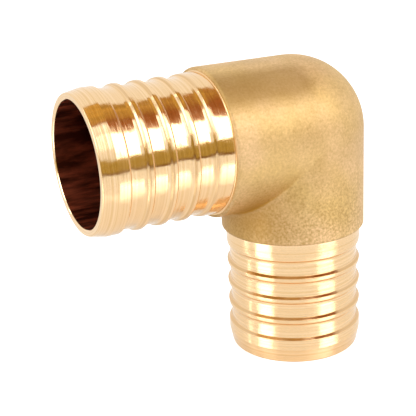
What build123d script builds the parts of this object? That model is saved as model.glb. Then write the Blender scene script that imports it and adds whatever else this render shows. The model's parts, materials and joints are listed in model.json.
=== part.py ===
"""Brass insert elbow for plastic tube: a 90 degree crimp fitting with two equal ribbed barbs.

The real fitting is one piece. A short elbow is hot forged in brass, then each arm is turned
outside to a ribbed barb and bored through, and the two bores meet in the corner. A tube is
pushed over each barb as far as the forged shoulder, and a ring is crimped round it.

Millimetres, +Z up. The origin is the centre of the lower end face. The lower port runs up +Z
to the bend, and the side port leaves the bend along -X.
"""

import os

from build123d import *

# Forged body
body_diameter = 24.0
forged_length = 16.5  # bend centre to the shoulder, where the tube stops
shoulder_radius = 0.5  # rounded rim of the shoulder
crotch_radius = 1.2  # blend in the inner corner between the arms

# Barb: the turned end that the tube goes over. The first rib is a long one beside the shoulder,
# the last is a long one beside the nose, and those between are alike.
barb_diameter = 22.6  # crests of the ribs
rib_height = 0.5  # from the bottom of a groove up to a crest
first_land = 2.2  # level crest between the shoulder and the first rib's slope
rib_count = 5
rib_pitch = 3.67
rib_land = 0.7  # crest of a rib, which slopes a little towards the open end
rib_slope_drop = 0.08  # how far that slope falls
rib_ramp = 0.4  # drop from the crest to the groove, on the side that faces the open end
rib_back = 0.35  # steep side that faces the body and holds the tube
lead_land = 1.7  # level crest of the last rib, which spreads the tube
nose_length = 2.42  # cone from that crest down to the level of the grooves, at the end face
lip_radius = 0.25  # rounded outer rim of the end face

# Waterway
groove_wall = 1.0  # brass left between a groove and the bore
mouth_chamfer = 0.15

# Sizes that follow from those above
body_radius = body_diameter / 2
barb_radius = barb_diameter / 2
root_radius = barb_radius - rib_height
bore_radius = root_radius - groove_wall
first_crest = forged_length + first_land
last_crest = first_crest + (rib_count - 1) * rib_pitch
nose_start = last_crest + lead_land
centre_to_end = nose_start + nose_length

# Each port's plane lies at the bend centre, and its normal runs out of the port.
bend_centre = (0, 0, centre_to_end)
lower_port = Plane(origin=bend_centre, x_dir=(1, 0, 0), z_dir=(0, 0, -1))
side_port = Plane(origin=bend_centre, x_dir=(0, 0, 1), z_dir=(-1, 0, 0))
ports = (lower_port, side_port)


def port_axis(port):
    """Axis of a port, running outwards from the bend centre."""
    return Axis(port.origin, port.z_dir)


def profile_plane(port):
    """Plane through a port's axis: X is the radius, and Y is the distance from the bend centre."""
    return Plane(origin=port.origin, x_dir=port.x_dir, z_dir=-port.y_dir)


def barb_outline():
    """Corners of the turned profile, from the middle of the body to the end face."""
    points = [(0, 0), (barb_radius, 0)]
    for rib in range(rib_count - 1):
        crest = first_crest + rib * rib_pitch
        ramp_start = crest + rib_land
        points.append((barb_radius, crest))
        points.append((barb_radius - rib_slope_drop, ramp_start))
        points.append((root_radius, ramp_start + rib_ramp))
        points.append((root_radius, crest + rib_pitch - rib_back))
    points.append((barb_radius, last_crest))
    points.append((barb_radius, nose_start))
    points.append((root_radius, centre_to_end))
    points.append((0, centre_to_end))
    return points


with BuildPart() as elbow:
    # Forged blank: a ball at the bend, with an arm to each port.
    with Locations(bend_centre):
        Sphere(radius=body_radius)
    for port in ports:
        with BuildSketch(port):
            Circle(body_radius)
        extrude(amount=forged_length)

    # The arms meet in an oval seam at the inner corner, which the die leaves rounded.
    fillet(elbow.edges().filter_by(GeomType.ELLIPSE), crotch_radius)
    for port in ports:
        shoulder_rim = elbow.edges().filter_by(GeomType.CIRCLE).sort_by(port_axis(port))[-1]
        fillet(shoulder_rim, shoulder_radius)

    # Turned barbs: each is one profile spun round its port's axis.
    for port in ports:
        with BuildSketch(profile_plane(port)):
            with BuildLine():
                Polyline(*barb_outline(), close=True)
            make_face()
        revolve(axis=port_axis(port))
        end_rim = elbow.edges().filter_by(GeomType.CIRCLE).sort_by(port_axis(port))[-1]
        fillet(end_rim, lip_radius)

    # Waterway: a bore from each end, which meet in a ball-nosed corner.
    with Locations(bend_centre):
        Sphere(radius=bore_radius, mode=Mode.SUBTRACT)
    for port in ports:
        with BuildSketch(port):
            Circle(bore_radius)
        extrude(amount=centre_to_end, mode=Mode.SUBTRACT)
    for port in ports:
        end_face = elbow.faces().sort_by(port_axis(port))[-1]
        mouth_edge = end_face.edges().sort_by(SortBy.RADIUS)[0]
        chamfer(mouth_edge, mouth_chamfer)

elbow.part.label = "elbow"

os.makedirs("parts", exist_ok=True)
export_step(elbow.part, "parts/elbow.step")

print(f"bend centre to end {centre_to_end:.2f} mm, bore {2 * bore_radius:.2f} mm")
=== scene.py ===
# %% [markdown]
# # A brass crimp elbow
# Plumbers join plastic water tube with fittings like this one. A short elbow is forged from hot
# brass and blasted clean, then each arm is turned in a lathe to a ribbed barb and bored through.
# The tube is pushed over a barb as far as the forged shoulder, and a ring is crimped round it.
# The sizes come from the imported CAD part. This lesson makes a finer skin over it: small edge
# roundings, the grain of the blasted forging and the fine rings that a lathe tool leaves.

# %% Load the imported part
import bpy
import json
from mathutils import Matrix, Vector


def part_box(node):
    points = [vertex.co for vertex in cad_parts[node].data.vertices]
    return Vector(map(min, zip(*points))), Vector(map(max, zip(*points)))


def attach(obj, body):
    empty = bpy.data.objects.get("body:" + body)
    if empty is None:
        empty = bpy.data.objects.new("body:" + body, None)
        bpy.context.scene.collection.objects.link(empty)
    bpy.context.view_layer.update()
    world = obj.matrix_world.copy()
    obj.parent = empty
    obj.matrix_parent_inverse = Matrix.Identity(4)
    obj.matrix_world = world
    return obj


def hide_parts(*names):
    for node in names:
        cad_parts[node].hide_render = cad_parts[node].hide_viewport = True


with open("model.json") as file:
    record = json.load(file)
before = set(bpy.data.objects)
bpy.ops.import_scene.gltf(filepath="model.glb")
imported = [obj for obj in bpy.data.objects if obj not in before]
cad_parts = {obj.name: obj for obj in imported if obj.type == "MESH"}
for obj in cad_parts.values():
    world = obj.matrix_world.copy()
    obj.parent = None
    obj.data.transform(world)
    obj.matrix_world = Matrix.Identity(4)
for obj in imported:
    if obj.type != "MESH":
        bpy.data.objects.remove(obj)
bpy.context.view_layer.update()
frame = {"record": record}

# %% [markdown]
# ## Modules
# bpy is Blender itself, bmesh builds a mesh face by face, and mathutils has vectors and matrices.
# Everything below is made with these, so the scene comes out the same each time it runs.

# %% Modules
import json
import math

import bmesh
import bpy
from mathutils import Matrix, Vector

print("Blender", bpy.app.version_string)

# %% [markdown]
# ## Sizes
# The origin is the centre of the lower end face. The lower arm runs up +Z to the bend, and the
# side arm leaves the bend along -X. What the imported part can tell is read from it: its box gives
# the body's radius and the length of the arms, and its mounts give the radii of barb and bore.
# Reading a size is better than typing it twice, because two copies drift apart.

# %% Sizes read from the part
mm = 0.001
low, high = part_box("elbow")
mounts = {mount["name"]: mount["dims"] for mount in frame["record"]["mounts"]}
body_radius = high.x
arm_length = -low.x  # bend centre to an end face
barb_radius = mounts["lower_barb"]["r_mm"] * mm
bore_radius = mounts["lower_bore"]["r_mm"] * mm
radii = (body_radius, barb_radius, bore_radius)
print("body, barb and bore radius, mm:", [round(r / mm, 2) for r in radii])

# %% [markdown]
# ## The ribs
# The barb has five ribs. The first is a long crest beside the shoulder, the last is a long crest
# beside the nose, and the three between are alike. Neither box nor mounts tell their sizes, so
# they are written here as in the CAD part. Distances run from the bend's centre outwards.

# %% Sizes of the ribs
forged_length = 16.5 * mm  # to the shoulder
rim_rounding = 0.5 * mm  # rounded edge of the shoulder
corner_blend = 1.2 * mm  # rolled fillet in the inner corner between the arms
groove_wall = 1.0 * mm
first_land = 2.2 * mm
rib_count = 5
rib_pitch = 3.67 * mm
rib_land = 0.7 * mm
rib_slope_drop = 0.08 * mm
rib_back = 0.35 * mm  # steep side that faces the body
lead_land = 1.7 * mm
lip_rounding = 0.25 * mm
mouth_chamfer = 0.15 * mm

groove_radius = bore_radius + groove_wall
first_crest = forged_length + first_land
last_crest = first_crest + (rib_count - 1) * rib_pitch
crests = [first_crest + rib * rib_pitch for rib in range(rib_count)]
print("crests start at, mm:", [round(crest / mm, 2) for crest in crests])

# %% [markdown]
# ## The turned profile
# A lathe makes one outline and spins it, so the barb is drawn as that outline: pairs of radius
# and distance from the bend's centre. A real edge is never perfectly sharp, because the tool's
# nose is round and the parts tumble in a bin. So each corner gets its own small radius, and light
# catches it as a thin bright line. A bevel modifier could round the edges too, but it gives all of
# them one width, and here a groove's foot is rounder than a crest.
#
# First comes one rib. Its back, towards the body, is steep and holds the tube. Its slope, towards
# the open end, is hollow: the round tool leaves a shallow curve there that runs out in the groove.

# %% Corners of one rib
tool_nose = 0.12 * mm
land_trim = 0.08 * mm  # the slope starts this much before the land would end
foot_height, foot_reach, foot_rounding = 0.1 * mm, 0.22 * mm, 0.35 * mm
hollow_reach, hollow_rounding = 0.7 * mm, 0.9 * mm


def rib_corners(crest, crest_rounding):
    """Corners as (radius, distance from the bend's centre, rounding), from crest to next rib."""
    land_end = crest + rib_land
    return [
        (barb_radius, crest, crest_rounding),
        (barb_radius - rib_slope_drop, land_end - land_trim, tool_nose),
        (groove_radius + foot_height, land_end + foot_reach, foot_rounding),
        (groove_radius, land_end + hollow_reach, hollow_rounding),
        (groove_radius, crest + rib_pitch - rib_back, tool_nose),
    ]


print("corners in a rib:", len(rib_corners(first_crest, tool_nose)))

# %% [markdown]
# Then the whole arm: the forged rim, the step down to the barb, the ribs, the cone of the nose,
# the lip and the small chamfer at the mouth of the bore. The tube meets the lip first, so that is
# well rounded, and the chamfer only takes off the burr. The first crest has no groove before it
# and runs on from the shoulder, so nothing is rounded there.

# %% Corners of one arm, from the forged rim to the bore
nose_start_rounding = 0.1 * mm
mouth_rounding = 0.04 * mm


def arm_corners():
    """Corners of an arm, in the same three numbers as a rib's."""
    corners = [
        (body_radius, forged_length, rim_rounding),
        (barb_radius, forged_length, tool_nose),
    ]
    for crest in crests[:-1]:
        corners += rib_corners(crest, 0 if crest == first_crest else tool_nose)
    corners += [
        (barb_radius, last_crest, tool_nose),
        (barb_radius, last_crest + lead_land, nose_start_rounding),
        (groove_radius, arm_length, lip_rounding),
        (bore_radius + mouth_chamfer, arm_length, mouth_rounding),
        (bore_radius, arm_length - mouth_chamfer, mouth_rounding),
    ]
    return corners


print("corners in an arm:", len(arm_corners()))

# %% [markdown]
# A rounding is an arc that touches both sides of its corner. The arc's centre lies on the line
# that halves the corner, and the arc is cut into steps of at most 16 degrees, which is fine
# enough for edges a tenth of a millimetre across.

# %% Rounding of a corner
arc_step = math.radians(16)


def rounded_corner(before, corner, after, rounding):
    """Points of the arc that replaces a corner of an outline."""
    if rounding == 0:
        return [corner]
    to_before, to_after = (before - corner).normalized(), (after - corner).normalized()
    turn = math.pi - to_before.angle(to_after)
    reach = rounding * math.tan(turn / 2)
    centre = corner + (to_before + to_after).normalized() * (rounding / math.cos(turn / 2))
    first, last = corner + to_before * reach - centre, corner + to_after * reach - centre
    side = math.copysign(1, first.x * last.y - first.y * last.x)
    steps = max(2, math.ceil(turn / arc_step))
    points = []
    for i in range(steps + 1):
        angle = side * turn * i / steps
        cos, sin = math.cos(angle), math.sin(angle)
        spoke = Vector((first.x * cos - first.y * sin, first.x * sin + first.y * cos))
        points.append(centre + spoke)
    return points


square_arc = rounded_corner(Vector((1, 0)), Vector((0, 0)), Vector((0, 1)), 0.1)
print("points on the arc of a square corner:", len(square_arc))

# %% [markdown]
# The outline is made once and used for both arms, because the real barbs are turned to the same
# drawing. The first arc belongs to the forged rim, and its count tells later where the turning
# starts.

# %% The whole outline
def arm_profile():
    """The rounded outline of an arm as (radius, distance) points, and how many the rim takes."""
    corners = arm_corners()
    before_rim, beyond_mouth = Vector((body_radius, 0)), Vector((bore_radius, 0))
    around = [before_rim] + [Vector(corner[:2]) for corner in corners] + [beyond_mouth]
    points, counts = [], []
    for i, (_, _, rounding) in enumerate(corners):
        arc = rounded_corner(around[i], around[i + 1], around[i + 2], rounding)
        points += arc
        counts.append(len(arc))
    return points, counts[0]


profile, rim_points = arm_profile()
print("points in the turned profile:", len(profile), "of them on the rim:", rim_points)

# %% [markdown]
# ## The skin of the elbow
# The body is two round arms that meet in a corner. A boolean of cylinders would give long thin
# triangles that shade badly, so the skin is woven instead. Think of lengthwise threads:
# each thread starts at the lower mouth, runs up the arm, goes round the bend, runs out to the
# side mouth and comes back through the bore.
#
# A place on an arm has three numbers: an angle round it, a radius and a distance from the bend.

# %% Points on the two arms
def arm_point(arm, angle, radius, distance):
    """A point at an angle round an arm. Angle 0 is the side away from the inner corner."""
    out, across = radius * math.cos(angle), radius * math.sin(angle)
    if arm == "lower":
        return Vector((out, across, arm_length - distance))
    return Vector((-distance, across, arm_length + out))


def run(arm, angle, radius, start, stop, steps=10):
    """Evenly spaced points along an arm, without the last."""
    way = stop - start
    return [arm_point(arm, angle, radius, start + way * i / steps) for i in range(steps)]


mouth_top = arm_point("side", 0, bore_radius, arm_length)
print("top of the side mouth, m:", tuple(round(v, 4) for v in mouth_top))

# %% [markdown]
# Round the outside of the bend a thread follows a ball. On the inside the two arms would meet in
# a sharp seam, and the forging die leaves a small rolled fillet there. A thread on that side
# stops short of the seam and swings round a little circle whose radius is the fillet's.

# %% Points round the bend
def corner_distance(angle, radius, blend):
    """How far from the bend's centre a thread starts to turn."""
    return (radius + blend) * max(0.0, -math.cos(angle))


def bend_points(angle, radius, blend, steps):
    """A thread's way from the lower arm to the side arm, both ends included."""
    # a hair below zero, because the cosine of a right angle doesn't come out as exactly 0
    if math.cos(angle) > -1e-9:
        turns = [math.pi / 2 * i / steps for i in range(steps + 1)]
        out, across = radius * math.cos(angle), radius * math.sin(angle)
        return [Vector((out * math.cos(t), across, arm_length + out * math.sin(t))) for t in turns]
    distance = corner_distance(angle, radius, blend)
    centre = Vector((-distance, (radius + blend) * math.sin(angle), arm_length - distance))
    start = arm_point("lower", angle, radius, distance) - centre
    stop = arm_point("side", angle, radius, distance) - centre
    return [centre + blend * start.slerp(stop, i / steps).normalized() for i in range(steps + 1)]


seam_distance = corner_distance(math.pi, body_radius, corner_blend)
print("the inner corner's fillet starts, mm from the bend:", round(seam_distance / mm, 2))

# %% [markdown]
# A closed thread is one loop of points. Each point also says which finish the strip after it
# gets, so the border between forged and turned brass falls exactly where the rounded rim of the
# shoulder ends. A thread comes back through the bore, which closes the skin at both mouths.

# %% One closed thread
forging, lower_turning, side_turning, waterway = range(4)
bore_blend = 0.2 * mm


def outer_strips(angle, turn_steps):
    """From the lower mouth over the outside to the side mouth: (point, finish) pairs."""
    lower = [arm_point("lower", angle, *p) for p in reversed(profile)]
    side = [arm_point("side", angle, *p) for p in profile]
    rim = forged_length - rim_rounding
    corner = corner_distance(angle, body_radius, corner_blend)
    forged = lower[-rim_points:-1]
    forged += run("lower", angle, body_radius, rim, corner)
    forged += bend_points(angle, body_radius, corner_blend, turn_steps)
    forged += reversed(run("side", angle, body_radius, rim, corner))
    forged += side[1:rim_points - 1]
    strips = [(point, lower_turning) for point in lower[:-rim_points]]
    strips += [(point, forging) for point in forged]
    return strips + [(point, side_turning) for point in side[rim_points - 1:]]


def thread(angle, turn_steps):
    """A closed thread: the outer strips, then back through the bore."""
    strips = outer_strips(angle, turn_steps)
    strips[-1] = (strips[-1][0], waterway)
    mouth = profile[-1].y
    corner = corner_distance(angle, bore_radius, bore_blend)
    back = run("side", angle, bore_radius, mouth, corner)[1:]
    back += reversed(bend_points(angle, bore_radius, bore_blend, turn_steps))
    back += reversed(run("lower", angle, bore_radius, mouth, corner)[1:])
    return strips + [(point, waterway) for point in back]


outer_turn_steps, inner_turn_steps = 28, 8
print("points in a thread outside:", len(thread(0.0, outer_turn_steps)))
print("points in a thread inside:", len(thread(math.pi, inner_turn_steps)))

# %% [markdown]
# ## Weaving
# Neighbouring threads are joined with four-sided faces, row by row. The half away from the inner
# corner turns round the ball and needs more steps than the half that only turns in the fillet,
# so the two halves are woven apart and then welded where they meet. A closed mesh has every edge
# shared by exactly two faces, and the cell counts the edges that aren't.

# %% Weave a part of the skin
def weave(build, start, stop, threads, turn_steps):
    """Joins neighbouring threads with four-sided faces, over part of the way round the arms."""
    columns = []
    for i in range(threads + 1):
        strips = thread(start + (stop - start) * i / threads, turn_steps)
        columns.append([build.verts.new(point) for point, _ in strips])
    finishes = [finish for _, finish in strips]
    for left, right in zip(columns, columns[1:]):
        for row, finish in enumerate(finishes):
            after = (row + 1) % len(finishes)
            face = build.faces.new((left[row], right[row], right[after], left[after]))
            face.material_index = finish
            face.smooth = True


build = bmesh.new()
weave(build, -math.pi / 2, math.pi / 2, threads=80, turn_steps=outer_turn_steps)
weave(build, math.pi / 2, math.pi * 3 / 2, threads=80, turn_steps=inner_turn_steps)
print("faces before the halves are welded:", len(build.faces))

# %% [markdown]
# Where the halves meet, each has its own points, less than a thousandth of a millimetre apart.
# Welding merges them. Then all faces are turned to look outwards, and the volume is measured as a
# check: a skin with a hole or a fold in it would give a wrong one.

# %% Weld the halves and make the piece
weld_reach = 0.0005 * mm
bmesh.ops.remove_doubles(build, verts=build.verts, dist=weld_reach)
bmesh.ops.recalc_face_normals(build, faces=build.faces)
skin = bpy.data.meshes.new("brass_elbow")
build.to_mesh(skin)
open_edges = sum(not edge.is_manifold for edge in build.edges)
print("faces:", len(skin.polygons), "edges not shared by two faces:", open_edges)
print("brass in it, mm3:", round(build.calc_volume() / mm**3))
build.free()

elbow = bpy.data.objects.new("brass_elbow", skin)
bpy.context.scene.collection.objects.link(elbow)

# %% [markdown]
# ## Shading of flats and roundings
# Smooth shading averages the directions of the faces round a corner, which would bend the
# reflections on the flat lands beside the tiny roundings. Weighted normals let the large faces
# decide, so lands and grooves reflect straight and only the roundings curve.

# %% Weighted normals
weights = elbow.modifiers.new("large faces decide", "WEIGHTED_NORMAL")
weights.weight = 100
weights.keep_sharp = False
print("modifiers:", [modifier.name for modifier in elbow.modifiers])

# %% [markdown]
# ## Finishes
# All of it is the same yellow brass. What differs is the surface: the forging was blasted with
# fine grit and looks matte, the turned barbs are bright with fine rings round the arm, and the
# bore is dull and dark. Each finish is a small network of procedural nodes on one metal shader.
# Pictures wrapped round the part would show seams and blur up close, and nodes don't.
#
# Networks are wired by script here, so a few short calls save a lot of writing. The first class
# adds a node and joins its inputs. It serves materials and the world alike.

# %% A network of nodes
class Network:
    """The nodes of a material or of the world."""

    def __init__(self, owner):
        owner.use_nodes = True
        self.owner = owner
        self.tree = owner.node_tree

    def add(self, kind, inputs=None, **settings):
        node = self.tree.nodes.new(kind)
        for name, value in settings.items():
            setattr(node, name, value)
        for name, value in (inputs or {}).items():
            self.join(value, node.inputs[name])
        return node

    def join(self, value, socket):
        if isinstance(value, bpy.types.NodeSocket):
            self.tree.links.new(value, socket)
        else:
            socket.default_value = value

    def math(self, operation, a, b=0.0):
        return self.add("ShaderNodeMath", {0: a, 1: b}, operation=operation).outputs[0]

    def span(self, value, source, target):
        """Carries a value from one range over to another, and holds it at the ends."""
        inputs = {"Value": value, "From Min": source[0], "From Max": source[1]}
        inputs.update({"To Min": target[0], "To Max": target[1]})
        return self.add("ShaderNodeMapRange", inputs).outputs["Result"]


print("a network adds and joins nodes, does sums and carries ranges over")

# %% [markdown]
# The second class is for materials. It adds the calls for places, noise, colours, bump and
# shaders. Every pattern uses object coordinates. They are fixed to the part and measured in
# metres, so a pattern keeps its place and its real size however the part is turned.

# %% Short calls for materials
class Finish(Network):
    """The nodes of a material."""

    def __init__(self, name):
        super().__init__(bpy.data.materials.new(name))

    def place(self):
        return self.add("ShaderNodeTexCoord").outputs["Object"]

    def vector(self, operation, a, b=(0, 0, 0), result="Vector"):
        return self.add("ShaderNodeVectorMath", {0: a, 1: b}, operation=operation).outputs[result]

    def noise(self, where, scale, detail=2.0, roughness=0.5, dimensions="3D"):
        inputs = {"Scale": scale, "Detail": detail, "Roughness": roughness}
        inputs["W" if dimensions == "1D" else "Vector"] = where
        return self.add("ShaderNodeTexNoise", inputs, noise_dimensions=dimensions).outputs["Fac"]

    def blend(self, share, a, b):
        """Mixes two colours. A colour is three numbers or another node's output."""
        node = self.add("ShaderNodeMix", {0: share}, data_type="RGBA")
        for colour, socket in ((a, node.inputs[6]), (b, node.inputs[7])):
            self.join((*colour, 1) if isinstance(colour, tuple) else colour, socket)
        return node.outputs[2]

    def bump(self, height, depth, under=None):
        inputs = {"Height": height, "Distance": depth, "Strength": 1.0}
        if under is not None:
            inputs["Normal"] = under
        return self.add("ShaderNodeBump", inputs).outputs["Normal"]

    def mix_shaders(self, share, a, b):
        return self.add("ShaderNodeMixShader", {0: share, 1: a, 2: b}).outputs[0]

    def add_shaders(self, a, b):
        return self.add("ShaderNodeAddShader", {0: a, 1: b}).outputs[0]

    def surface(self, shader):
        self.join(shader, self.tree.nodes["Material Output"].inputs["Surface"])

    def metal(self, colour, roughness, normal=None, metallic=1.0):
        """Ends the network in the metal shader."""
        shader = self.tree.nodes["Principled BSDF"]
        self.join(colour, shader.inputs["Base Color"])
        self.join(roughness, shader.inputs["Roughness"])
        if normal is not None:
            self.join(normal, shader.inputs["Normal"])
        shader.inputs["Metallic"].default_value = metallic


print("a finish also makes places, noise, blends, bump and shaders")

# %% [markdown]
# ## Blasted forging: the grain
# Grit leaves thousands of tiny pits, and broad patches where it struck harder or softer. Two
# noises make them, one very fine and one broad. The grain shows most low down on the body, so the
# fine noise counts for less with height. A third noise lets the bright skin drift between a
# yellow and a pinker brass, as stains do. Modelled pits would need millions of faces. Places are
# in metres, so a noise of scale 2600 makes lumps about 0.4 mm across.

# %% Colour of the forged skin
pit_brass = (0.54, 0.335, 0.115)
yellow_brass, pink_brass = (0.80, 0.56, 0.225), (0.87, 0.605, 0.33)
strong_below, weak_above = 25 * mm, 33 * mm


def forged_skin(net, place, height, grit, patches):
    """Colour of the blasted skin, before its darker places."""
    strength = net.span(height, (strong_below, weak_above), (1.0, 0.45))
    speck = net.math("MULTIPLY", net.math("SUBTRACT", grit, 0.5), strength)
    tone = net.math("ADD", net.math("MULTIPLY", patches, 0.3), speck)
    stain = net.noise(place, scale=95, detail=2)
    bright = net.blend(net.span(stain, (0.4, 0.62), (0, 1)), yellow_brass, pink_brass)
    return net.blend(net.span(tone, (0.0, 0.3), (0, 1)), pit_brass, bright)


print("the grain weakens between these heights, mm:", strong_below / mm, weak_above / mm)

# %% [markdown]
# ## Blasted forging: painted shade in the inner corner and above the seam
# The inner corner between the arms lies in shade and mirrors the other arm, and that shade is
# painted into the colour as a brown. It fades with the distance from that corner, measured in side
# view. The underside of the side arm just above the seam where the arms meet is shaded as well: a
# painted shade starts sharply at the seam and fades upwards. An ambient occlusion node could find
# the corner by itself, but it gives no sharp edge at the seam, so both are painted by distance.

# %% Painted shade in the inner corner and above the seam
inner_corner = (-body_radius, 0, arm_length - body_radius)
# painted shade: the two browns below darken the inner corner and the side arm above the seam
painted_corner_shade, corner_shade_share, corner_shade_fade = (0.40, 0.19, 0.02), 0.6, (1.5 * mm, 8 * mm)
painted_seam_shade, seam_shade_share, seam_shade_fade = (0.46, 0.225, 0.005), 0.8, (0.5 * mm, 6.5 * mm)
seam_edge, seam_reach = (-0.2 * mm, 0.3 * mm), (2 * mm, 11 * mm)


def corner_and_seam_shade(net, colour, place, x, height):
    """Adds the painted shade of the inner corner and of the seam to a colour."""
    side_view = net.vector("MULTIPLY", place, (1, 0, 1))
    inner = net.vector("DISTANCE", side_view, inner_corner, result="Value")
    colour = net.blend(net.span(inner, corner_shade_fade, (corner_shade_share, 0)), colour, painted_corner_shade)
    seam = net.math("SUBTRACT", net.math("SUBTRACT", height, arm_length), x)
    starts = net.span(seam, seam_edge, (0, 1))
    fades = net.span(seam, seam_shade_fade, (seam_shade_share, 0))
    near_corner = net.span(inner, seam_reach, (1, 0))
    # painted shade under the side arm, from the seam upwards
    seam_shade = net.math("MULTIPLY", net.math("MULTIPLY", starts, fades), near_corner)
    return net.blend(seam_shade, colour, painted_seam_shade)


print("inner corner at, mm:", [round(v / mm, 1) for v in inner_corner])

# %% [markdown]
# ## Blasted forging: the two painted reflections
# A darker band runs along each upper side of the side arm and ends, ragged and round, over the
# bend. It is a painted reflection of a dark card overhead, laid into the colour. A band is every
# place near a line, and three numbers say how far away a place is: beside the line, above it and
# beyond its end. Their length as a vector is the distance from the line, and the colour fades
# with it.

# %% Darker bands along the side arm: painted reflections
# painted reflection: the brown below darkens the top of the side arm like a dark card mirrored in
# it
band_reflection_brown, band_reflection_share, band_reflection_fade = (0.38, 0.22, 0.055), 0.62, (2.3 * mm, 4.6 * mm)
band_beside, band_above, band_end = 7.2 * mm, 9.5 * mm, -2.5 * mm
ragged_by = 3 * mm


def painted_band_reflections(net, colour, x, y, height, patches):
    """Adds the two dark bands, a painted reflection, to a colour."""
    beside = net.math("SUBTRACT", net.math("ABSOLUTE", y), band_beside)
    above = net.math("SUBTRACT", height, arm_length + band_above)
    ragged = net.math("ADD", x, net.math("MULTIPLY", patches, ragged_by))
    beyond = net.math("MAXIMUM", net.math("SUBTRACT", ragged, band_end), 0.0)
    off = net.add("ShaderNodeCombineXYZ", {0: beside, 1: above, 2: beyond}).outputs[0]
    off_line = net.vector("LENGTH", off, result="Value")
    return net.blend(net.span(off_line, band_reflection_fade, (band_reflection_share, 0)), colour, band_reflection_brown)


print("bands, mm beside and above the arm's axis:", band_beside / mm, band_above / mm)

# %% [markdown]
# ## Blasted forging: the whole finish
# The layers go over each other, from the skin to the bands. The metal share is below one here:
# a pitted surface scatters light inside its pits, which looks partly like a matte coat. It also
# keeps the highlight along the arm soft. The pits are bump, a twentieth of a millimetre deep.

# %% Blasted forging
pit_depth, forged_metallic = 0.05 * mm, 0.65


def blasted_forging():
    net = Finish("blasted_forging")
    place = net.place()
    x, y, height = net.add("ShaderNodeSeparateXYZ", {"Vector": place}).outputs
    grit = net.noise(place, scale=2600, detail=3, roughness=0.65)
    patches = net.noise(place, scale=200, detail=3, roughness=0.5)
    colour = forged_skin(net, place, height, grit, patches)
    colour = corner_and_seam_shade(net, colour, place, x, height)
    colour = painted_band_reflections(net, colour, x, y, height, patches)
    roughness = net.span(patches, (0.3, 0.7), (0.47, 0.55))
    net.metal(colour, roughness, net.bump(grit, pit_depth), metallic=forged_metallic)
    return net.owner


forged_brass = blasted_forging()
print(forged_brass.name, "has", len(forged_brass.node_tree.nodes), "nodes")

# %% [markdown]
# ## Turned brass: the rings
# A lathe tool leaves fine rings round the arm, and on an end face they run round the mouth. So
# the pattern depends on one number only, the distance along the arm plus the radius. A noise of
# one number gives each ring its own tone and height. Rings all alike would look like a screw, and
# rings cut into the mesh would cost many faces for a few thousandths of a millimetre.

# %% Where the rings lie
def lathe_rings(net, place, along):
    """Distance along the arm, and the number that is the same all round a ring."""
    across_arm = tuple(1 - abs(a) for a in along)
    distance = net.vector("DOT_PRODUCT", place, along, result="Value")
    radius = net.vector("LENGTH", net.vector("MULTIPLY", place, across_arm), result="Value")
    return distance, net.math("ADD", distance, radius)


lower_axis, side_axis = (0, 0, 1), (1, 0, 0)
print("the rings run round these axes:", lower_axis, side_axis)

# %% [markdown]
# ## Turned brass: lines on the ribs
# Two thin lines repeat with every rib. One is a worn line along the lower edge of each crest,
# where the parts rub in the bin. The other is painted shade: a darker strip at the foot of the
# steep back, where the groove's corner lies in shade. The faces there could have a finish of their
# own, but a soft edge needs nodes. A ping-pong node folds the distance at every rib, so one line
# serves them all, and comparisons keep the lines off the places that have no rib.

# %% Lines that repeat with the ribs
worn_brass, worn_fade = (0.55, 0.30, 0.10), (0.1 * mm, 0.26 * mm)
# painted shade: the brown below darkens the foot of each steep back
painted_back_shade, back_shade_share, back_shade_fade = (0.45, 0.22, 0.06), 0.35, (rib_back * 0.3, rib_back * 0.6)


def from_line(net, out, first):
    """How far a place is from a line that repeats with every rib."""
    return net.math("PINGPONG", net.math("SUBTRACT", out, first), rib_pitch / 2)


def rib_lines(net, colour, distance, wear):
    """Adds the worn line and the painted shade at the steep back of every rib to a colour."""
    out = net.math("ABSOLUTE", distance)
    edge = from_line(net, out, first_crest + rib_land - land_trim)
    worn = net.span(edge, worn_fade, (1, 0))
    worn = net.math("MULTIPLY", worn, net.math("LESS_THAN", out, last_crest))
    colour = net.blend(net.math("MULTIPLY", worn, wear), colour, worn_brass)
    # painted shade at the foot of every steep back
    back = from_line(net, out, first_crest + rib_pitch - rib_back / 2)
    back_shade = net.span(back, back_shade_fade, (1, 0))
    back_shade = net.math("MULTIPLY", back_shade, net.math("LESS_THAN", out, first_crest + 4.2 * rib_pitch))
    back_shade = net.math("MULTIPLY", back_shade, net.math("GREATER_THAN", out, first_crest + rib_pitch / 2))
    return net.blend(net.math("MULTIPLY", back_shade, back_shade_share), colour, painted_back_shade)


print("lines repeat every", round(rib_pitch / mm, 2), "mm")

# %% [markdown]
# ## Turned brass: the whole finish
# The tone of the rings blends a deep brass with a bright one. Smudges from handling vary the
# roughness. The rings are a bump of a few thousandths of a millimetre, and under them lies a
# slow wave, which makes the edges of reflections wobble as they do on real turned metal.
# The side arm came out of the lathe smoother and got more wear than the lower one.

# %% Turned brass, for one arm
deep_brass, bright_brass = (0.86, 0.57, 0.28), (0.98, 0.70, 0.41)
ring_depth, wave_depth = 0.006 * mm, 0.05 * mm


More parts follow.
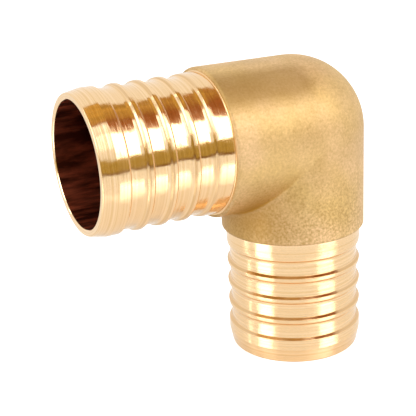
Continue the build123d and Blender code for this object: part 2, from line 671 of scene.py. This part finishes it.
def turned_brass(name, along, wear, polish):
    """Fine rings round one arm. Polish is the least and the most roughness."""
    net = Finish(name)
    place = net.vector("SUBTRACT", net.place(), (0, 0, arm_length))
    distance, ring = lathe_rings(net, place, along)
    fine = net.noise(ring, scale=9000, detail=2, roughness=0.6, dimensions="1D")
    broad = net.noise(ring, scale=2300, detail=2, roughness=0.5, dimensions="1D")
    tone = net.math("ADD", net.math("MULTIPLY", fine, 0.4), net.math("MULTIPLY", broad, 0.6))
    colour = net.blend(net.span(tone, (0.35, 0.6), (0, 1)), deep_brass, bright_brass)
    colour = rib_lines(net, colour, distance, wear)
    smudge = net.noise(place, scale=420, detail=4, roughness=0.6)
    wave = net.noise(place, scale=500, detail=1)
    rings = net.bump(net.math("ADD", fine, net.math("MULTIPLY", broad, 2.0)), ring_depth)
    roughness = net.span(smudge, (0.3, 0.7), polish)
    net.metal(colour, roughness, net.bump(wave, wave_depth, under=rings))
    return net.owner


lower_brass = turned_brass("lower_turning", lower_axis, wear=0.0, polish=(0.12, 0.24))
side_brass = turned_brass("side_turning", side_axis, wear=0.35, polish=(0.08, 0.18))
for brass in (lower_brass, side_brass):
    print(brass.name, "has", len(brass.node_tree.nodes), "nodes")

# %% [markdown]
# ## The dull bore
# Nobody polishes the waterway, and its walls mirror each other again and again, so it looks dark
# and reddish, with stains drawn out along the hole. Squeezing the coordinates before the noise
# stretches the stains: a small factor on X makes them long that way. A plain black would be
# easier, but a mouth this wide shows its wall.

# %% Dull bore
dark_stain, red_brass = (0.14, 0.035, 0.017), (0.6, 0.15, 0.07)


def dull_bore():
    net = Finish("dull_bore")
    squeeze = {"Vector": net.place(), "Scale": (0.12, 1, 0.4)}
    drawn_out = net.add("ShaderNodeMapping", squeeze).outputs["Vector"]
    stain = net.noise(drawn_out, scale=900, detail=4, roughness=0.6)
    colour = net.blend(net.span(stain, (0.4, 0.65), (0, 1)), dark_stain, red_brass)
    net.metal(colour, net.span(stain, (0.3, 0.7), (0.35, 0.5)))
    return net.owner


bore_brass = dull_bore()
print(bore_brass.name, "has", len(bore_brass.node_tree.nodes), "nodes")

# %% [markdown]
# ## Dressing the skin
# Every face already knows the number of its finish, so the four materials only have to be added
# in that order. The piece rides on the part's one body, and the CAD elbow is hidden.

# %% Dress the skin
for finish in (forged_brass, lower_brass, side_brass, bore_brass):
    skin.materials.append(finish)
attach(elbow, "root")
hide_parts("elbow")
print("finishes:", [finish.name for finish in skin.materials])

# %% [markdown]
# ## Studio: the white tent
# Polished metal has hardly any look of its own: it shows the room. So the room is built with the
# same care as the part. It starts as a white tent, which shows the brass in the colour that it is
# written in. A picture of a real room would bring its windows into the metal. Rays from the camera
# and from mirrors see the world at full white, and the soft light that it sheds on matte things
# is a little lower, so pale places don't burn out.

# %% World: a white tent
mirror_white, shed_light = 1.0, 0.85
tent = Network(bpy.data.worlds.new("white_tent"))
bpy.context.scene.world = tent.owner
rays = tent.add("ShaderNodeLightPath").outputs
seen = tent.math("MAXIMUM", rays["Is Camera Ray"], rays["Is Glossy Ray"])
seen = tent.math("MAXIMUM", seen, rays["Is Transmission Ray"])
background = tent.tree.nodes["Background"]
background.inputs["Color"].default_value = (1, 1, 1, 1)
tent.join(tent.span(seen, (0, 1), (shed_light, mirror_white)), background.inputs["Strength"])
print("world:", bpy.context.scene.world.name, "at", mirror_white, "and", shed_light)

# %% [markdown]
# ## Studio: directions
# Lights and cards are placed by direction from the middle of the elbow, as one would say it in a
# studio: so far round, so high up. Azimuth 0 is straight in front, towards -Y, and 90 is +X.

# %% Directions from the elbow
heart = Vector((-0.012, 0, 0.03))


def towards(azimuth, elevation):
    """Direction from the elbow, from two angles in degrees."""
    a, e = math.radians(azimuth), math.radians(elevation)
    return Vector((math.sin(a) * math.cos(e), -math.cos(a) * math.cos(e), math.sin(e)))


print("straight in front:", tuple(round(v, 3) for v in towards(0, 0)))

# %% [markdown]
# ## Studio: soft boxes
# A soft box is a glowing sheet, and an area light is the same thing. On round bright metal each
# one shows as a white band or patch, so its width and place are chosen for the band it makes.
# The big ones right and left of the camera draw the wide bands. The high and the middle one add
# smaller ones, and the strip beyond the left one a thin line near the outline. The last light is
# a fill: it lifts the shaded side of the matte body, and mirrors don't see it. Energy is worked
# out from the area, so a strength of one is as bright as pure white whatever the size.

# %% Soft boxes
def soft_box(name, azimuth, elevation, width, height, strength, distance=0.5):
    """A glowing sheet that faces the elbow."""
    light = bpy.data.lights.new(name, "AREA")
    light.shape = "RECTANGLE"
    light.size, light.size_y = width, height
    light.energy = strength * math.pi * width * height
    lamp = bpy.data.objects.new(name, light)
    bpy.context.scene.collection.objects.link(lamp)
    out = towards(azimuth, elevation)
    lamp.location = heart + out * distance
    lamp.rotation_mode = "QUATERNION"
    lamp.rotation_quaternion = out.to_track_quat("Z", "Y")
    lamp.visible_camera = False
    return lamp


lamps = [
    soft_box("soft_box_right", 31, 33.5, width=0.245, height=0.3, strength=2.75),
    soft_box("soft_box_high", 13, 59, width=0.11, height=0.16, strength=1.8),
    soft_box("soft_box_left", -84, 27, width=0.235, height=0.3, strength=2.8),
    soft_box("soft_box_middle", 4, 42, width=0.12, height=0.2, strength=1.6),
    soft_box("strip_light_left", -118, 30, width=0.03, height=0.3, strength=2.5),
    soft_box("fill_light_right", 30, 4, width=0.3, height=0.3, strength=1.6),
]
fill_light = lamps[-1]
fill_light.visible_glossy = False
print("lamps:", [lamp.name for lamp in lamps])

# %% [markdown]
# ## Studio: cards
# Brass in an all-white room looks pale and flat. So a studio sets dark cards round bright metal,
# which picks up their edges as dark bands. The cards here glow faintly in a brown and take
# no light, so their shade never depends on the lamps. Only mirror-like rays see them, so they
# cast no shadow. Each has some mottling, because a perfectly even card makes a band that looks
# painted on, and it may change from one shade near the elbow to another further out.
#
# A card that is not mirrored is clear for rays on their second glossy bounce. So the glossy table
# mirrors the soft boxes up into the metal, and the card doesn't stand in their way.

# %% The make-up of a card
card_middle = (-0.02, 0.05, 0)
near_edge, far_edge = 0.11, 0.175


def card_glow(name, near_shade, far_shade, mirrored):
    """A faint mottled glow, in one shade near the elbow and another away from it."""
    net = Finish(name)
    place = net.place()
    level = net.vector("MULTIPLY", place, (1, 1, 0))
    away = net.vector("DISTANCE", level, card_middle, result="Value")
    shade = net.blend(net.span(away, (near_edge, far_edge), (0, 1)), near_shade, far_shade)
    mottle = net.span(net.noise(place, scale=35, detail=3), (0.3, 0.7), (0.6, 1.4))
    shown = net.add("ShaderNodeEmission", {"Color": shade, "Strength": mottle}).outputs[0]
    if not mirrored:
        bounces = net.add("ShaderNodeLightPath").outputs["Glossy Depth"]
        clear = net.add("ShaderNodeBsdfTransparent").outputs[0]
        shown = net.mix_shaders(net.math("GREATER_THAN", bounces, 1.5), shown, clear)
    net.surface(shown)
    return net.owner


print("a card's shade changes from", near_edge, "to", far_edge, "m out")

# %% [markdown]
# A card's object stays at the origin and its corners carry its place, so the glow can measure
# from the middle of the room.

# %% Cards as objects
def card(name, corners, faces, near_shade, far_shade, mirrored=True):
    """A card that only mirror-like rays see."""
    panel = bpy.data.meshes.new(name)
    panel.from_pydata(corners, [], faces)
    panel.materials.append(card_glow(name, near_shade, far_shade, mirrored))
    made = bpy.data.objects.new(name, panel)
    bpy.context.scene.collection.objects.link(made)
    made.visible_camera = made.visible_diffuse = made.visible_shadow = False
    print("card:", name, "with", len(faces), "faces")


# %% [markdown]
# The overhead card hangs 0.3 m above the elbow, with its front corner cut off so that the soft
# boxes shine past it. It makes the copper-coloured band along the top of the side arm. Its
# outline is in shares of that height, which keeps the angles right if the height changes.

# %% The overhead card
hang = 0.3
outline = [
    (0.1, -0.36), (0.42, -0.76), (1.0, -0.76),
    (0.9, 0.3), (-0.1, 0.3), (-0.3, 0.12), (-0.3, -0.36),
]
corners = [(heart.x + x * hang, y * hang, heart.z + hang) for x, y in outline]
copper_brown, dark_brown = (0.58, 0.36, 0.09), (0.39, 0.14, 0.042)
card("card_overhead", corners, [tuple(range(len(corners)))], copper_brown, dark_brown)

# %% [markdown]
# Low down lies a dark cloth round the front of the table, and behind it stands a low wall. They
# make the ochre band below the white patches of the side arm. Both follow the same arc, so one
# helper makes them: it draws a curved sheet between two edges.

# %% The cloth and the low wall
arc_start, arc_sweep, arc_strips = -80, 132, 24


def curved_card(name, inner_edge, outer_edge, shade):
    """A card round the front, between two edges that are each a distance out and a height."""
    corners, faces = [], []
    for i in range(arc_strips + 1):
        way = towards(arc_start + arc_sweep * i / arc_strips, 0)
        for out, height in (inner_edge, outer_edge):
            corners.append((heart.x + way.x * out, way.y * out, height))
        if i:
            faces.append((2 * i - 2, 2 * i, 2 * i + 1, 2 * i - 1))
    card(name, corners, faces, shade, shade, mirrored=False)


cloth_start, wall_out, wall_top, just_above_floor = 0.27, 0.62, 0.215, 0.001
cloth_brown, ochre = (0.24, 0.13, 0.03), (0.47, 0.34, 0.09)
wall_foot = (wall_out, just_above_floor)
curved_card("card_cloth", (cloth_start, just_above_floor), wall_foot, cloth_brown)
curved_card("card_low", wall_foot, (wall_out, wall_top), ochre)

# %% [markdown]
# ## The floor
# The elbow stands on a sheet of white acrylic. To the camera it is a matte white that still takes
# the elbow's shadow: a matte share catches light and shadow, and a faint glow lifts it to white.
# Polished brass sees the same sheet at a flat angle, where acrylic starts to mirror, so for
# glossy rays a gloss grows with the angle and shows the soft boxes. Light Path tells the kinds
# of ray apart, and a ray of any other kind meets the plain matte.

# %% What the sheet shows to each kind of ray
white, acrylic_white = (1, 1, 1, 1), (0.8, 0.8, 0.8, 1)
camera_glow, metal_glow, most_gloss = 0.65, 0.05, 0.8
sheet = Finish("white_acrylic")
matte = sheet.add("ShaderNodeBsdfDiffuse", {"Color": acrylic_white}).outputs[0]
glow = sheet.add("ShaderNodeEmission", {"Strength": camera_glow}).outputs[0]
faint_glow = sheet.add("ShaderNodeEmission", {"Strength": metal_glow}).outputs[0]
gloss = sheet.add("ShaderNodeBsdfGlossy", {"Color": white, "Roughness": 0.15}).outputs[0]
flatness = sheet.add("ShaderNodeLayerWeight", {"Blend": 0.5}).outputs["Facing"]
mirrored = sheet.span(flatness, (0.2, 0.6), (0.0, most_gloss))

to_camera = sheet.add_shaders(matte, glow)
to_metal = sheet.mix_shaders(mirrored, sheet.add_shaders(matte, faint_glow), gloss)
rays = sheet.add("ShaderNodeLightPath").outputs
shown = sheet.mix_shaders(rays["Is Camera Ray"], matte, to_camera)
sheet.surface(sheet.mix_shaders(rays["Is Glossy Ray"], shown, to_metal))
print(sheet.owner.name, "has", len(sheet.tree.nodes), "nodes")

# %% Floor
floor_half = 3
sides = ((-1, -1), (1, -1), (1, 1), (-1, 1))
floor_corners = [(x * floor_half, y * floor_half, 0) for x, y in sides]
floor_mesh = bpy.data.meshes.new("floor")
floor_mesh.from_pydata(floor_corners, [], [(0, 1, 2, 3)])
floor_mesh.materials.append(sheet.owner)
floor = bpy.data.objects.new("floor", floor_mesh)
bpy.context.scene.collection.objects.link(floor)
print("floor, m across:", 2 * floor_half)

# %% [markdown]
# ## Camera
# The elbow is seen from the front left and a little above, with a long lens from close by. That
# is near enough for the side port to look larger than the body behind it. Three turns aim the
# camera: a small roll, then its elevation, then its azimuth. A tracking constraint could aim it
# too, but it allows no roll. The view transform is Standard, so a colour is shown as it is
# written.

# %% Camera
camera_place = (-0.0815, -0.13097, 0.07559)
focal_length, nearest = 82.8, 0.01  # mm, and m from the lens
azimuth, elevation, roll = (math.radians(d) for d in (-26.61, 18.49, -2.83))
turn = (
    Matrix.Rotation(azimuth, 4, "Z")
    @ Matrix.Rotation(math.pi / 2 - elevation, 4, "X")
    @ Matrix.Rotation(roll, 4, "Z")
)
camera = bpy.data.objects.new("camera", bpy.data.cameras.new("camera"))
bpy.context.scene.collection.objects.link(camera)
bpy.context.scene.camera = camera
camera.matrix_world = Matrix.Translation(camera_place) @ turn
camera.data.lens = focal_length
camera.data.clip_start = nearest
bpy.context.scene.view_settings.view_transform = "Standard"
print("camera to elbow, m:", round((camera.matrix_world.translation - heart).length, 3))

# %% [markdown]
# ## Finish
# Last, the scene is brought up to date. The dressed elbow's box should match the CAD part's box,
# because a skin that grows or shrinks the part would no longer fit a tube.

# %% Finish
bpy.context.view_layer.update()
